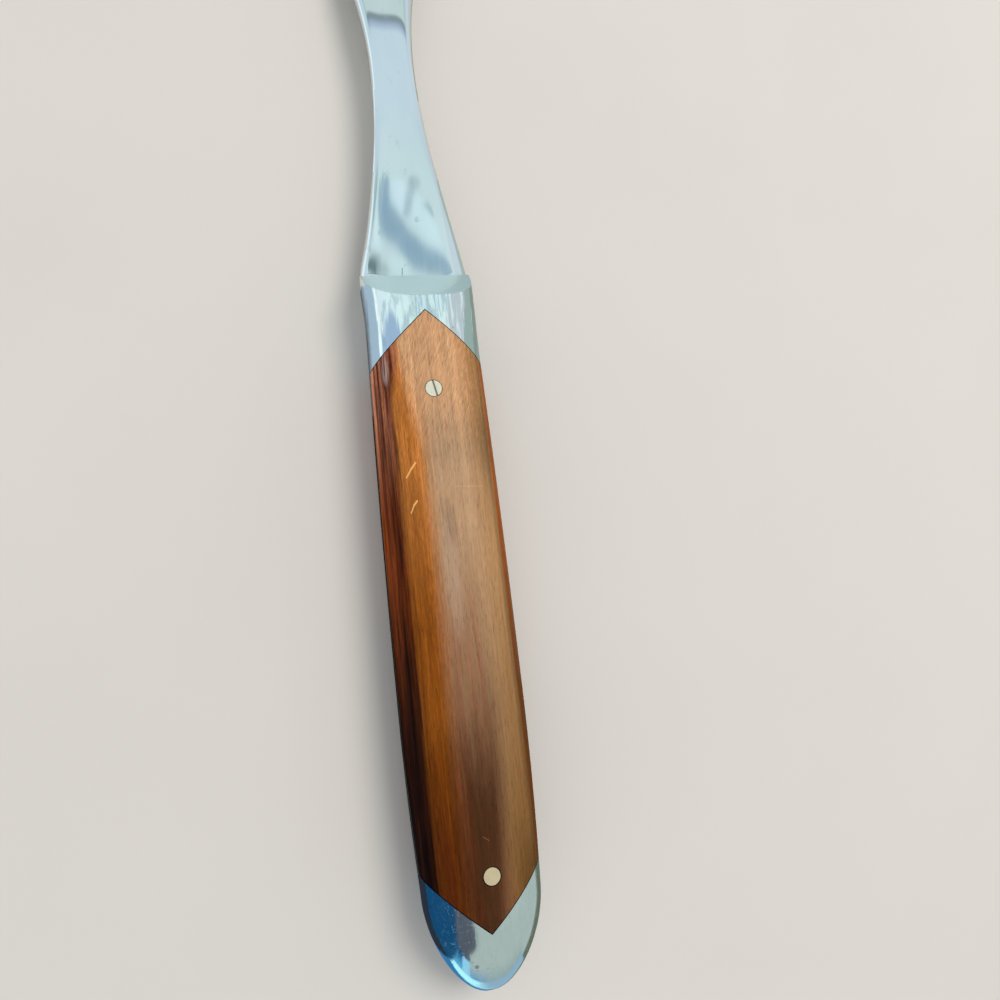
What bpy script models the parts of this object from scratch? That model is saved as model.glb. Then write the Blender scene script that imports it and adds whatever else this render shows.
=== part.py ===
"""Carving fork: a full-tang steel fork with half-bolsters, wooden scales and flush pins.

Units are metres. X runs from the butt to the tines, Y across the handle and Z up from the table.
Every piece hangs on one empty at the butt end, in the middle of the tang's thickness, so the stations
below are measured from the butt (or from the front of the bolsters) and heights from the tang's middle.
"""

import math

import bmesh
import bpy
import numpy as np

# Handle: one ground form that the scales, the bolsters and the edges of the tang share
HANDLE_LENGTH = 0.1300
FRONT_WIDTH = 0.0206
BELLY_WIDTH = 0.0228
REAR_WIDTH = 0.0210
FRONT_THICKNESS = 0.0144
BELLY_THICKNESS = 0.0164
REAR_THICKNESS = 0.0152
BELLY_STATION = 0.0480
BUTT_LENGTH = 0.0158
BUTT_POWER = 1.86
SECTION_POWER = 2.5
LAND_DEPTH = 0.0003

# Joints between the pieces
GLUE_LINE = 0.0003
PIN_CLEARANCE = 0.00025

# Bolsters and the V ends of the scales
FRONT_APEX_SETBACK = 0.0097
REAR_APEX_STATION = 0.0114
FRONT_V_ANGLE = math.radians(104)
REAR_V_ANGLE = math.radians(95)
FRONT_BEVEL_ANGLE = math.radians(42)

# Pins through the scales, and blind dowels inside the bolsters
PIN_DIAMETER = 0.0030
FRONT_PIN_SETBACK = 0.0149
REAR_PIN_SETBACK = 0.0093
REAR_PIN_OFFSET = 0.0009
DOWEL_DIAMETER = 0.0025
DOWEL_DEPTH = 0.0018
DOWEL_CHAMFER = 0.0003
FRONT_DOWEL_SPACING = 0.0120
FRONT_DOWEL_SETBACK = 0.0065
REAR_DOWEL_SPACING = 0.0080
REAR_DOWEL_SETBACK = 0.0055

# Fork: stations are measured from the front of the bolsters
TANG_THICKNESS = 0.0030
SHANK_INSET = 0.0002
SHANK_RUN_IN = 0.0180
SHANK_POWER = 8.0
NECK_STATION = 0.0440
NECK_WIDTH = 0.0085
NECK_THICKNESS = 0.0042
NECK_POWER = 2.6
ROOT_STATION = 0.0840
ROOT_WIDTH = 0.0186
CROTCH_STATION = 0.0800
CROTCH_LENGTH = 0.0090
TINE_LENGTH = 0.0900
TINE_WIDTH = 0.0044
TINE_THICKNESS = 0.0038
TINE_END_WIDTH = 0.0024
TINE_END_THICKNESS = 0.0020
TINE_END_SPAN = 0.0176
POINT_LENGTH = 0.0150
CRANK_STATION = 0.0500
LOW_STATION = 0.1180
TIP_RISE = 0.0090

# Facets
FORM_SIDES = 48
FORM_STATIONS = 18
BUTT_STATIONS = 9
ROUND_SIDES = 24
FLAT_STEPS = 4
EDGE_STEPS = 4
ARC_STEPS = 2 * FLAT_STEPS + EDGE_STEPS
TANG_STATIONS = 10
SHANK_STATIONS = 24
CROTCH_STATIONS = 7
TINE_STATIONS = 11
POINT_STATIONS = 6
SMOOTH_ANGLE = math.radians(28)

# Room that a cutter leaves past the piece it cuts, the share of the butt's nose that is tang,
# and the distance under which points are one
CUTTER_MARGIN = 0.0040
NOSE_SHARE = 0.90
MERGE = 0.00001

TIP_STATION = CROTCH_STATION + TINE_LENGTH
POINT_STATION = TIP_STATION - POINT_LENGTH
OVERALL_LENGTH = HANDLE_LENGTH + TIP_STATION
TANG_HEIGHT = BELLY_THICKNESS / 2 - LAND_DEPTH
TANG_FACE = TANG_THICKNESS / 2
SEAT = TANG_FACE + GLUE_LINE
FRONT_APEX = HANDLE_LENGTH - FRONT_APEX_SETBACK
FRONT_V_SLOPE = 1 / math.tan(FRONT_V_ANGLE / 2)
REAR_V_SLOPE = 1 / math.tan(REAR_V_ANGLE / 2)
FRONT_PIN_STATION = FRONT_APEX - FRONT_PIN_SETBACK
REAR_PIN_STATION = REAR_APEX_STATION + REAR_PIN_SETBACK
CUTTER_SIDE = BELLY_WIDTH / 2 + CUTTER_MARGIN
CUTTER_TOP = BELLY_THICKNESS / 2 + CUTTER_MARGIN

for old in list(bpy.data.objects):
    bpy.data.objects.remove(old)

PARTS = bpy.data.collections.new("carving_fork")
CUTTERS = bpy.data.collections.new("cutters")
bpy.context.scene.collection.children.link(PARTS)
bpy.context.scene.collection.children.link(CUTTERS)

BUTT = bpy.data.objects.new("butt_end", None)
PARTS.objects.link(BUTT)
BUTT.location = (-OVERALL_LENGTH / 2, 0, TANG_HEIGHT)


def ease(share):
    """A half cosine wave from 0 to 1, flat at both ends."""
    return (1 - np.cos(np.pi * np.clip(share, 0, 1))) / 2


def swell(stations, front, belly, rear):
    """A handle measure: widest at the belly, falling as a parabola to the front and to the rear."""
    ahead = (stations - BELLY_STATION) / (HANDLE_LENGTH - BELLY_STATION)
    behind = (BELLY_STATION - stations) / (BELLY_STATION - BUTT_LENGTH)
    drop = np.where(ahead > 0, (belly - front) * ahead**2, (belly - rear) * behind**2)
    left = np.clip((BUTT_LENGTH - stations) / BUTT_LENGTH, 0, 1)
    return (belly - drop) * (1 - left**BUTT_POWER) ** (1 / BUTT_POWER) / 2


def half_width(stations):
    return swell(np.asarray(stations, float), FRONT_WIDTH, BELLY_WIDTH, REAR_WIDTH)


def half_thickness(stations):
    return swell(np.asarray(stations, float), FRONT_THICKNESS, BELLY_THICKNESS, REAR_THICKNESS)


def butt_stations(count):
    """Stations over the rounded butt, close together at its end, where the form turns fastest."""
    return BUTT_LENGTH * (np.arange(1, count + 1) / count) ** 2


def add_part(name, mesh, colour, roughness, metallic):
    """One named piece on the butt empty, with its own material."""
    part = bpy.data.objects.new(name, mesh)
    PARTS.objects.link(part)
    part.parent = BUTT
    finish = bpy.data.materials.new(name + "_finish")
    finish.use_nodes = True
    shader = finish.node_tree.nodes["Principled BSDF"]
    shader.inputs["Base Color"].default_value = (*colour, 1)
    shader.inputs["Roughness"].default_value = roughness
    shader.inputs["Metallic"].default_value = metallic
    mesh.materials.clear()
    mesh.materials.append(finish)
    mesh.shade_smooth()
    mesh.set_sharp_from_angle(angle=SMOOTH_ANGLE)
    return part


def add_steel(name, mesh):
    return add_part(name, mesh, (0.72, 0.73, 0.74), 0.12, 1.0)


def add_wood(name, mesh):
    return add_part(name, mesh, (0.33, 0.135, 0.045), 0.32, 0.0)


def add_pin_metal(name, mesh):
    return add_part(name, mesh, (0.80, 0.74, 0.62), 0.28, 1.0)


def add_cutter(name, mesh):
    """A helper that shapes the pieces and isn't one of them."""
    cutter = bpy.data.objects.new(name, mesh)
    CUTTERS.objects.link(cutter)
    cutter.parent = BUTT
    cutter.hide_render = True
    cutter.display_type = "WIRE"
    return cutter


def shape(part, operation, *cutters):
    for cutter in cutters:
        boolean = part.modifiers.new(cutter.name, "BOOLEAN")
        boolean.operation = operation
        boolean.solver = "EXACT"
        boolean.object = cutter


def block(name, low, high):
    """A box between two corners."""
    shaper = bmesh.new()
    bmesh.ops.create_cube(shaper, size=1)
    size = np.subtract(high, low)
    bmesh.ops.scale(shaper, vec=size, verts=shaper.verts)
    bmesh.ops.translate(shaper, vec=np.add(low, size / 2), verts=shaper.verts)
    mesh = bpy.data.meshes.new(name)
    shaper.to_mesh(mesh)
    shaper.free()
    return add_cutter(name, mesh)


def rod(name, diameter, length):
    """A round bar along Z, centred on its middle."""
    shaper = bmesh.new()
    radius = diameter / 2
    bmesh.ops.create_cone(
        shaper, cap_ends=True, segments=ROUND_SIDES, radius1=radius, radius2=radius, depth=length
    )
    mesh = bpy.data.meshes.new(name)
    shaper.to_mesh(mesh)
    shaper.free()
    return mesh


def plate(name, points, low, high):
    """A flat outline between two heights: a filled 2D curve, turned into a closed mesh."""
    curve = bpy.data.curves.new(name, "CURVE")
    curve.dimensions = "2D"
    curve.fill_mode = "BOTH"
    curve.extrude = (high - low) / 2
    spline = curve.splines.new("POLY")
    spline.points.add(len(points) - 1)
    spline.use_cyclic_u = True
    for corner, (station, across) in zip(spline.points, points):
        corner.co = (station, across, 0, 1)
    outline = bpy.data.objects.new(name + "_outline", curve)
    CUTTERS.objects.link(outline)
    bpy.context.view_layer.update()
    graph = bpy.context.evaluated_depsgraph_get()
    mesh = bpy.data.meshes.new_from_object(outline.evaluated_get(graph))
    shaper = bmesh.new()
    shaper.from_mesh(mesh)
    bmesh.ops.remove_doubles(shaper, verts=shaper.verts, dist=MERGE)
    bmesh.ops.recalc_face_normals(shaper, faces=shaper.faces)
    bmesh.ops.translate(shaper, vec=(0, 0, (low + high) / 2), verts=shaper.verts)
    shaper.to_mesh(mesh)
    shaper.free()
    bpy.data.objects.remove(outline)
    bpy.data.curves.remove(curve)
    return add_cutter(name, mesh)


def handle_form():
    """The ground form of the whole handle: squarish oval sections from the rounded butt to past the front."""
    straight = np.linspace(BUTT_LENGTH, HANDLE_LENGTH + CUTTER_MARGIN, FORM_STATIONS)
    stations = np.concatenate([butt_stations(BUTT_STATIONS), straight[1:]])
    turn = (np.arange(FORM_SIDES) + 0.5) * 2 * np.pi / FORM_SIDES
    across = np.sign(np.cos(turn)) * np.abs(np.cos(turn)) ** (2 / SECTION_POWER)
    up = np.sign(np.sin(turn)) * np.abs(np.sin(turn)) ** (2 / SECTION_POWER)
    shaper = bmesh.new()
    pole = shaper.verts.new((0, 0, 0))
    rings = [
        [shaper.verts.new((x, width * a, height * b)) for a, b in zip(across, up)]
        for x, width, height in zip(stations, half_width(stations), half_thickness(stations))
    ]
    for side in range(FORM_SIDES):
        after = (side + 1) % FORM_SIDES
        shaper.faces.new((pole, rings[0][after], rings[0][side]))
        for ring, ahead in zip(rings, rings[1:]):
            shaper.faces.new((ring[side], ring[after], ahead[after], ahead[side]))
    shaper.faces.new(rings[-1])
    bmesh.ops.recalc_face_normals(shaper, faces=shaper.faces)
    mesh = bpy.data.meshes.new("handle_form")
    shaper.to_mesh(mesh)
    shaper.free()
    return mesh


def scale_outline(inset):
    """The plan of a scale: a long hexagon whose V ends keep this much clear of the bolsters."""
    front = FRONT_APEX - inset * math.hypot(1, FRONT_V_SLOPE)
    rear = REAR_APEX_STATION + inset * math.hypot(1, REAR_V_SLOPE)
    front_corner = front - FRONT_V_SLOPE * CUTTER_SIDE
    rear_corner = rear + REAR_V_SLOPE * CUTTER_SIDE
    return [
        (rear, 0),
        (rear_corner, -CUTTER_SIDE),
        (front_corner, -CUTTER_SIDE),
        (front, 0),
        (front_corner, CUTTER_SIDE),
        (rear_corner, CUTTER_SIDE),
    ]


def dowel_places():
    """Name, station and offset of each dowel, set back from the V notch beside it."""
    front_side = FRONT_DOWEL_SPACING / 2
    rear_side = REAR_DOWEL_SPACING / 2
    front = FRONT_APEX - FRONT_V_SLOPE * front_side + FRONT_DOWEL_SETBACK
    rear = REAR_APEX_STATION + REAR_V_SLOPE * rear_side - REAR_DOWEL_SETBACK
    return [
        ("front_bolster_dowel_left", front, front_side),
        ("front_bolster_dowel_right", front, -front_side),
        ("rear_bolster_dowel_left", rear, rear_side),
        ("rear_bolster_dowel_right", rear, -rear_side),
    ]


def tang_ring(station):
    """Half a section of the tang: flat faces, with the edge ground to the handle's form."""
    width = float(half_width(station))
    height = float(half_thickness(station))
    face = min(TANG_FACE, height * NOSE_SHARE)
    edge = np.linspace(face, -face, EDGE_STEPS + 1)
    reach = width * (1 - (np.abs(edge) / height) ** SECTION_POWER) ** (1 / SECTION_POWER)
    flat = np.linspace(0, 1, FLAT_STEPS + 1)[:-1]
    across = np.concatenate([flat * reach[0], reach, (flat * reach[-1])[::-1]])
    up = np.concatenate([np.full(FLAT_STEPS, face), edge, np.full(FLAT_STEPS, -face)])
    return np.column_stack([np.full(len(up), station), across, up])


def shank_width(station):
    """Half-width outside the tines: a cosine taper to the neck, then a cosine flare to the tine roots."""
    base = FRONT_WIDTH / 2 - SHANK_INSET
    neck = NECK_WIDTH / 2
    run = NECK_STATION + SHANK_RUN_IN
    start = 1 - float(ease(SHANK_RUN_IN / run))
    taper = 1 - float(ease((station + SHANK_RUN_IN) / run))
    flare = float(ease((station - NECK_STATION) / (ROOT_STATION - NECK_STATION)))
    along = max(0.0, station - ROOT_STATION) / (TIP_STATION - ROOT_STATION)
    converge = (ROOT_WIDTH - TINE_END_SPAN) / 2 * along
    return neck + (base - neck) * taper / start + (ROOT_WIDTH / 2 - neck) * flare - converge


def tine_share(station):
    """How far along the tine, from its root to the start of its point, as 0 to 1."""
    return min(1.0, max(0.0, (station - ROOT_STATION) / (POINT_STATION - ROOT_STATION)))


def point_left(station):
    """What is left of the tine's section over its ground point: 1 before it, 0 at the tip."""
    return 1 - max(0.0, (station - POINT_STATION) / POINT_LENGTH) ** 2


def shank_thickness(station):
    """Half-thickness: swelling from the tang to the neck, then thinning along the tines."""
    neck = TANG_THICKNESS + (NECK_THICKNESS - TANG_THICKNESS) * float(ease(station / NECK_STATION))
    root = float(ease((station - NECK_STATION) / (ROOT_STATION - NECK_STATION)))
    thickness = neck + (TINE_THICKNESS - NECK_THICKNESS) * root
    thickness += (TINE_END_THICKNESS - TINE_THICKNESS) * tine_share(station)
    return thickness / 2 * point_left(station)


def bow(station):
    """Height of the fork's middle: level at the shank, down to the table, then up to the tips."""
    dip = TANG_HEIGHT - shank_thickness(LOW_STATION)
    down = float(ease((station - CRANK_STATION) / (LOW_STATION - CRANK_STATION)))
    up = max(0.0, station - LOW_STATION) / (TIP_STATION - LOW_STATION)
    return TIP_RISE * up**2 - dip * down


def tine_edges(station):
    """Inner edge, ridge and outer edge of the half-section, as distances from the middle of the fork."""
    outer = shank_width(station)
    if station <= CROTCH_STATION:
        return 0.0, 0.0, outer
    width = TINE_WIDTH + (TINE_END_WIDTH - TINE_WIDTH) * tine_share(station)
    past = min(1.0, (station - CROTCH_STATION) / CROTCH_LENGTH)
    inner = (outer - width) * math.sqrt(1 - (1 - past) ** 2)
    middle = outer - width / 2
    left = point_left(station)
    inner = middle + (inner - middle) * left
    outer = middle + (outer - middle) * left
    return inner, inner + (outer - inner) / 2 * float(ease(past)), outer


def shank_arc(station, ridge, edge):
    """A squarish oval arc from the top of the ridge round an edge to the bottom."""
    power = SHANK_POWER + (NECK_POWER - SHANK_POWER) * float(ease(station / NECK_STATION))
    turn = np.linspace(np.pi / 2, -np.pi / 2, ARC_STEPS + 1)
    out = np.abs(np.cos(turn)) ** (2 / power)
    out[[0, -1]] = 0
    up = np.sign(np.sin(turn)) * np.abs(np.sin(turn)) ** (2 / power)
    return np.column_stack(
        [
            np.full(len(turn), HANDLE_LENGTH + station),
            ridge + (edge - ridge) * out,
            bow(station) + shank_thickness(station) * up,
        ]
    )


def fork_mesh():
    """One half of the fork, open at its middle plane: tang, shank and a tine, lofted along their stations."""
    tang = np.concatenate(
        [
            butt_stations(BUTT_STATIONS),
            np.linspace(BUTT_LENGTH, HANDLE_LENGTH - CUTTER_MARGIN, TANG_STATIONS)[1:],
        ]
    )
    crotch_end = CROTCH_STATION + CROTCH_LENGTH
    shank = np.linspace(0, CROTCH_STATION, SHANK_STATIONS)[:-1]
    crotch = CROTCH_STATION + CROTCH_LENGTH * np.linspace(0, 1, CROTCH_STATIONS) ** 2
    tine = np.linspace(crotch_end, POINT_STATION, TINE_STATIONS)[1:]
    point = np.linspace(POINT_STATION, TIP_STATION, POINT_STATIONS + 1)[1:-1]
    split = np.concatenate([crotch, tine, point])
    shaper = bmesh.new()
    outer = [[shaper.verts.new(p) for p in tang_ring(station)] for station in tang]
    for station in np.concatenate([shank, split]):
        _, ridge, edge = tine_edges(station)
        outer.append([shaper.verts.new(p) for p in shank_arc(station, ridge, edge)])
    inner = []
    for station, ring in zip(split, outer[-len(split) :]):
        edge, ridge, _ = tine_edges(station)
        wall = shank_arc(station, ridge, edge)[-2:0:-1]
        inner.append([ring[-1], *(shaper.verts.new(p) for p in wall), ring[0]])
    _, ridge, _ = tine_edges(TIP_STATION)
    butt = shaper.verts.new((0, 0, 0))
    tip = shaper.verts.new((HANDLE_LENGTH + TIP_STATION, ridge, bow(TIP_STATION)))
    for skin in (outer, inner):
        for ring, ahead in zip(skin, skin[1:]):
            for side in range(ARC_STEPS):
                shaper.faces.new((ring[side], ahead[side], ahead[side + 1], ring[side + 1]))
        for first, second in zip(skin[-1], skin[-1][1:]):
            shaper.faces.new((first, tip, second))
    for first, second in zip(outer[0], outer[0][1:]):
        shaper.faces.new((butt, first, second))
    mesh = bpy.data.meshes.new("fork")
    shaper.to_mesh(mesh)
    shaper.free()
    return mesh


def build_fork(holes):
    """The forged piece: a half mirrored across its middle plane, then drilled for the pins and dowels."""
    fork = add_steel("fork", fork_mesh())
    mirror = fork.modifiers.new("halves", "MIRROR")
    mirror.use_axis = (False, True, False)
    mirror.merge_threshold = MERGE
    shape(fork, "DIFFERENCE", *holes)


def build_bolsters(side, sign, form, pocket, dowel_holes):
    """The front and rear half-bolsters on one face of the tang."""
    middle = HANDLE_LENGTH / 2
    low, high = sorted((sign * SEAT, sign * CUTTER_TOP))
    front = block(
        f"front_half_{side}",
        (middle, -CUTTER_SIDE, low),
        (HANDLE_LENGTH + 2 * CUTTER_MARGIN, CUTTER_SIDE, high),
    )
    rear = block(
        f"rear_half_{side}",
        (-CUTTER_MARGIN, -CUTTER_SIDE, low),
        (middle, CUTTER_SIDE, high),
    )
    bevel = block(
        f"front_bevel_{side}",
        (-HANDLE_LENGTH, -CUTTER_SIDE, 0),
        (HANDLE_LENGTH, CUTTER_SIDE, HANDLE_LENGTH),
    )
    bevel.location = (HANDLE_LENGTH, 0, sign * SEAT)
    bevel.rotation_euler.y = math.pi / 2 - sign * (math.pi / 2 - FRONT_BEVEL_ANGLE)
    front_bolster = add_steel(f"front_bolster_{side}", form.copy())
    shape(front_bolster, "INTERSECT", front)
    shape(front_bolster, "DIFFERENCE", bevel, pocket, *dowel_holes[:2])
    rear_bolster = add_steel(f"rear_bolster_{side}", form.copy())
    shape(rear_bolster, "INTERSECT", rear)
    shape(rear_bolster, "DIFFERENCE", pocket, *dowel_holes[2:])


def build_scale(side, sign, form, pin_holes):
    """A wooden scale: the handle's form within the V-ended outline, on one face of the tang."""
    low, high = sorted((sign * SEAT, sign * CUTTER_TOP))
    blank = plate(f"scale_blank_{side}", scale_outline(GLUE_LINE), low, high)
    scale = add_wood(f"scale_{side}", form.copy())
    shape(scale, "INTERSECT", blank)
    shape(scale, "DIFFERENCE", *pin_holes)
    return scale


def build_pins(form_cutter):
    """The through pins, ground flush with the handle's form, and the holes that they pass through."""
    long = BELLY_THICKNESS + CUTTER_MARGIN
    holes = []
    for name, station, across in (
        ("front_scale_pin", FRONT_PIN_STATION, 0),
        ("rear_scale_pin", REAR_PIN_STATION, -REAR_PIN_OFFSET),
    ):
        pin = add_pin_metal(name, rod(name, PIN_DIAMETER, long))
        pin.location = (station, across, 0)
        shape(pin, "INTERSECT", form_cutter)
        hole_size = PIN_DIAMETER + 2 * PIN_CLEARANCE
        hole = add_cutter(f"{name}_hole", rod(f"{name}_hole", hole_size, 2 * long))
        hole.location = pin.location
        holes.append(hole)
    return holes


def build_dowels():
    """The blind dowels of the bolsters, with chamfered ends, and the holes that they seat in."""
    length = 2 * (SEAT + DOWEL_DEPTH)
    holes = []
    for name, station, across in dowel_places():
        dowel = add_steel(name, rod(name, DOWEL_DIAMETER, length))
        dowel.location = (station, across, 0)
        chamfer = dowel.modifiers.new("end_chamfer", "BEVEL")
        chamfer.width = DOWEL_CHAMFER
        chamfer.segments = 1
        chamfer.limit_method = "ANGLE"
        hole_size = DOWEL_DIAMETER + 2 * PIN_CLEARANCE
        hole = add_cutter(f"{name}_hole", rod(f"{name}_hole", hole_size, length + 2 * GLUE_LINE))
        hole.location = dowel.location
        holes.append(hole)
    return holes


FORM = handle_form()
POCKET = plate("scale_pocket", scale_outline(0), -CUTTER_TOP, CUTTER_TOP)
PIN_HOLES = build_pins(add_cutter("handle_form", FORM))
DOWEL_HOLES = build_dowels()
build_fork(PIN_HOLES + DOWEL_HOLES)
build_bolsters("top", 1, FORM, POCKET, DOWEL_HOLES)
build_bolsters("bottom", -1, FORM, POCKET, DOWEL_HOLES)
build_scale("top", 1, FORM, PIN_HOLES)
LOWER_SCALE = build_scale("bottom", -1, FORM, PIN_HOLES)

# The lower scale is ground to a narrow flat land, on which the handle rests
LAND = block("rest_land", (0, -CUTTER_SIDE, -CUTTER_TOP), (HANDLE_LENGTH, CUTTER_SIDE, -TANG_HEIGHT))
shape(LOWER_SCALE, "DIFFERENCE", LAND)
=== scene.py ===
"""Looks of the carving fork: its pieces in assembly order, then the floor, the light and the camera.

Units are metres. In the sections below a station runs along the handle from the butt, or along the shank
from the front of the bolsters, and a height is measured from the middle of the tang.
"""

import math

import bmesh
import bpy
import numpy as np
from mathutils import Matrix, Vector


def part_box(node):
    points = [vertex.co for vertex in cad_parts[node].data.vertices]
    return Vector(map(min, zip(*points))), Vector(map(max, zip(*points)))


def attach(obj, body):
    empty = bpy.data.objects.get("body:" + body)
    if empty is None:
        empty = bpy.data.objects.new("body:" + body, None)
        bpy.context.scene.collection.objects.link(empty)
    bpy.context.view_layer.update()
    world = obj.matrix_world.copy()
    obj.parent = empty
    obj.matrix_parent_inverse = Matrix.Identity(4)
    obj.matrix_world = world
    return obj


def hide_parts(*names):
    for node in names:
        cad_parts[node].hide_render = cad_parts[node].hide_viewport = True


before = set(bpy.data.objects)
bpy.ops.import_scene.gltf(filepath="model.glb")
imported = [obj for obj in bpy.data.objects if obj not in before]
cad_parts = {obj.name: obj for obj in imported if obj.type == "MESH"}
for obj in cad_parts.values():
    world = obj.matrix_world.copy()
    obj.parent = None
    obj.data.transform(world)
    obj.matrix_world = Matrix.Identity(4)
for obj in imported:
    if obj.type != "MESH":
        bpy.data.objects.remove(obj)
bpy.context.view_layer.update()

# Fork: one stainless forging, ground and buffed to a mirror. Its flat tang runs the whole length of the
# handle between the bolsters and the scales, the shank narrows to a neck, and two tines leave the crotch.
# The tang's edge is painted dark brown where it shows between the scales, as painted shade.
BUTT_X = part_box("fork")[0].x
TANG_Z = (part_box("front_bolster_bottom")[1].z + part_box("front_bolster_top")[0].z) / 2
HANDLE_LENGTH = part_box("front_bolster_top")[1].x - BUTT_X
TIP_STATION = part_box("fork")[1].x - BUTT_X - HANDLE_LENGTH
FRONT_WIDTH = 0.0206
BELLY_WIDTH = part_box("fork")[1].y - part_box("fork")[0].y
REAR_WIDTH = 0.0210
FRONT_THICKNESS = 0.0144
BELLY_THICKNESS = 2 * (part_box("scale_top")[1].z - TANG_Z)
REAR_THICKNESS = 0.0152
BELLY_STATION = 0.0480
BUTT_LENGTH = 0.0158
BUTT_POWER = 1.86
FORM_POWER = 2.5
TANG_FACE = 0.0015
NOSE_SHARE = 0.90
SHANK_INSET = 0.0002
SHANK_RUN_IN = 0.0180
SHANK_POWER = 8.0
NECK_STATION = 0.0440
NECK_WIDTH = 0.0085
NECK_THICKNESS = 0.0042
TINE_POWER = 2.6
ROOT_STATION = 0.0840
ROOT_WIDTH = 0.0186
CROTCH_STATION = 0.0800
CROTCH_LENGTH = 0.0090
TINE_WIDTH = 0.0044
TINE_THICKNESS = 0.0038
TINE_END_WIDTH = 0.0024
TINE_END_THICKNESS = 0.0020
TINE_END_SPAN = 0.0176
POINT_LENGTH = 0.0150
POINT_STATION = TIP_STATION - POINT_LENGTH
CRANK_STATION = 0.0500
LOW_STATION = 0.1180
TIP_RISE = 0.0090
FLOOR_CLEARANCE = 0.00001
LEFT_FACET_WIDTH = 0.0013
LEFT_FACET_LENGTH = 0.0330
LEFT_FACET_SLOPE = math.tan(math.radians(24))
RIGHT_FACET_WIDTH = 0.0026
RIGHT_FACET_LENGTH = 0.0270
RIGHT_FACET_SLOPE = math.tan(math.radians(13))
LEFT_BELLS = ((0.0, 0.00065, 0.0065), (0.0460, 0.00050, 0.0180))
RIGHT_BELLS = ((0.0620, -0.00050, 0.0120),)
TANG_STOP = 0.0006
FACE_STEPS = 40
EDGE_STEPS = 12
BUTT_ROWS = 32
TANG_ROWS = 50
SHANK_ROWS = 150
CROTCH_ROWS = 26
TINE_ROWS = 60
POINT_ROWS = 26
DRILL_SIDES = 48
MERGE_REACH = 1e-6
SLIVER_REACH = 1e-7
SHARP_EDGE = math.radians(30)
PIN_HOLE_CLEARANCE = 0.00012
PIN_HOLE_BEYOND = 0.001
DOWEL_HOLE_CLEARANCE = 0.00002
DOWEL_HOLE_BEYOND = 0.00003
CLOUDED_STEEL = (0.66, 0.70, 0.71)
BUFFED_STEEL = (0.72, 0.75, 0.76)
TANG_EDGE_SHADE = (0.12, 0.08, 0.06)
STEEL_DIRT = (0.2, 0.22, 0.22)
NICK = ((130.2, 2.7), (131.5, 2.55), 0.16)
FORK_RELIEF = 0.000012


def ease(share):
    """A half cosine wave from 0 to 1, flat at both ends."""
    return (1 - np.cos(np.pi * np.clip(share, 0, 1))) / 2


def swell(station, front, belly, rear):
    """Half a handle measure: a parabola down from the belly each way, closed by a round butt."""
    ahead = (station - BELLY_STATION) / (HANDLE_LENGTH - BELLY_STATION)
    behind = (BELLY_STATION - station) / (BELLY_STATION - BUTT_LENGTH)
    drop = np.where(ahead > 0, (belly - front) * ahead**2, (belly - rear) * behind**2)
    left = np.clip((BUTT_LENGTH - station) / BUTT_LENGTH, 0, 1)
    return (belly - drop) * (1 - left**BUTT_POWER) ** (1 / BUTT_POWER) / 2


def half_width(station):
    """Half the handle's width: the swell of the three named widths."""
    return swell(station, FRONT_WIDTH, BELLY_WIDTH, REAR_WIDTH)


def half_thickness(station):
    """Half the handle's thickness: the swell of the three named thicknesses."""
    return swell(station, FRONT_THICKNESS, BELLY_THICKNESS, REAR_THICKNESS)


def bells(station, places):
    """Half-width that grinding left or took: a sum of bells, each with a place, a height and a length."""
    return sum(height * np.exp(-(((station - place) / length) ** 2)) for place, height, length in places)


def add_mesh(name, grids):
    """One closed mesh from grids of points: every cell is a quad, and borders that meet are merged."""
    points = np.concatenate([grid.reshape(-1, 3) for grid in grids])
    starts = np.cumsum([0] + [grid.shape[0] * grid.shape[1] for grid in grids])
    quads = []
    for grid, start in zip(grids, starts):
        cell = start + np.arange(grid.shape[0] * grid.shape[1]).reshape(grid.shape[:2])
        corners = (cell[:-1, :-1], cell[1:, :-1], cell[1:, 1:], cell[:-1, 1:])
        quads.append(np.stack(corners, axis=-1).reshape(-1, 4))
    mesh = bpy.data.meshes.new(name)
    mesh.from_pydata(points + (BUTT_X, 0, TANG_Z), [], np.concatenate(quads).tolist())
    shaper = bmesh.new()
    shaper.from_mesh(mesh)
    bmesh.ops.remove_doubles(shaper, verts=shaper.verts, dist=MERGE_REACH)
    bmesh.ops.dissolve_degenerate(shaper, edges=shaper.edges, dist=SLIVER_REACH)
    bmesh.ops.recalc_face_normals(shaper, faces=shaper.faces)
    shaper.to_mesh(mesh)
    shaper.free()
    mesh.shade_smooth()
    mesh.set_sharp_from_angle(angle=SHARP_EDGE)
    piece = bpy.data.objects.new(name, mesh)
    bpy.context.scene.collection.objects.link(piece)
    return piece


def loft(station, out, up):
    """A grid of points: one row per station, from distances off the middle plane and heights."""
    return np.stack(np.broadcast_arrays(station, out, up), axis=-1)


def tang_half(station, extra):
    """Half-sections of the tang: flat faces, with an edge that follows the handle's squarish oval."""
    width = half_width(station) + extra
    height = half_thickness(station)
    face = np.minimum(TANG_FACE, height * NOSE_SHARE)
    edge = face * np.linspace(1, -1, EDGE_STEPS + 1)
    reach = width * (1 - np.abs(edge / height) ** FORM_POWER) ** (1 / FORM_POWER)
    flat = np.sin(np.linspace(0, np.pi / 2, FACE_STEPS + 1))[:-1]
    out = np.hstack([reach[:, :1] * flat, reach, reach[:, -1:] * flat[::-1]])
    up = np.hstack([face + 0 * flat, edge, -face - 0 * flat])
    return loft(station, out, up)


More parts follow.
